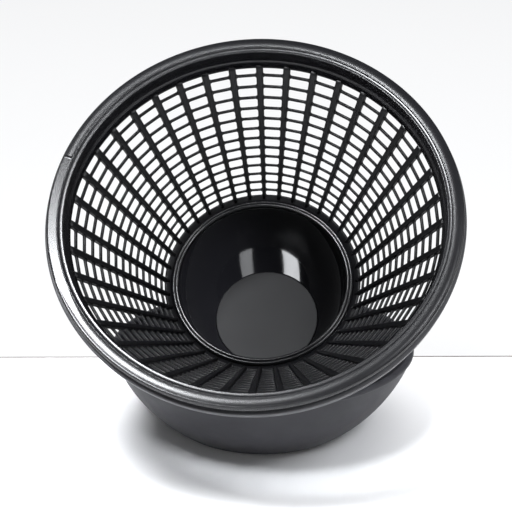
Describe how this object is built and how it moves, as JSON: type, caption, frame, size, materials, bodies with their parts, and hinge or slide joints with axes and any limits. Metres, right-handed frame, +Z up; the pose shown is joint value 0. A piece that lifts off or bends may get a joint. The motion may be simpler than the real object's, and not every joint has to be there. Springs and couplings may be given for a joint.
{
  "type": "salad spinner",
  "caption": "Open grille spin basket with a deep cup, leaning on a round base; the basket tilts upright, spins on a turntable and lifts off.",
  "frame": {"origin": "centre of the flat foot, on the surface the base stands on", "axes": "+Z up; the basket leans towards -Y and tilts in the YZ plane; +X completes the right-handed frame"},
  "size_m": [0.26, 0.2666, 0.2639],
  "materials": {
    "base_plastic": "matte charcoal, fine moulded grain",
    "foot_rubber": "soft black rubber",
    "steel": "plain turned steel",
    "inner_plastic": "satin black",
    "acetal": "smooth off-white acetal",
    "cup_gloss": "polished black",
    "disc_satin": "satin black",
    "collar_gloss": "polished black",
    "grille_plastic": "semi-gloss black",
    "rim_gloss": "semi-gloss black with a soft sheen",
    "skirt_plastic": "matte charcoal"
  },
  "bodies": {
    "base": {"base_bowl": "base_plastic", "foot_pad": "foot_rubber", "ballast_plate": "steel", "cradle_saddle": "inner_plastic", "saddle_screws": "steel", "slide_liners": "foot_rubber", "guide_pins": "steel"},
    "cradle": {"tilt_cradle": "inner_plastic", "spindle_bush": "acetal", "thrust_washer": "steel"},
    "rotor": {"turntable": "inner_plastic", "spindle": "steel", "spindle_clip": "steel"},
    "basket": {"drive_socket": "inner_plastic", "socket_screws": "steel", "cup": "cup_gloss", "cup_disc": "disc_satin", "cup_collar": "collar_gloss", "basket_grille": "grille_plastic", "basket_rim": "rim_gloss", "rim_skirt": "skirt_plastic"}
  },
  "joints": [
    {"name": "tilt", "type": "hinge", "parent": "base", "child": "cradle", "pos_m": [0, 0, 0.101], "axis": [-1, 0, 0], "range_deg": [0, 45]},
    {"name": "spin", "type": "hinge", "parent": "cradle", "child": "rotor", "pos_m": [0, 0, 0.101], "axis": [0, -0.7071, 0.7071], "continuous": true},
    {"name": "lift_off", "type": "slide", "parent": "rotor", "child": "basket", "axis": [0, -0.7071, 0.7071], "range_m": [0, 0.08]}
  ]
}
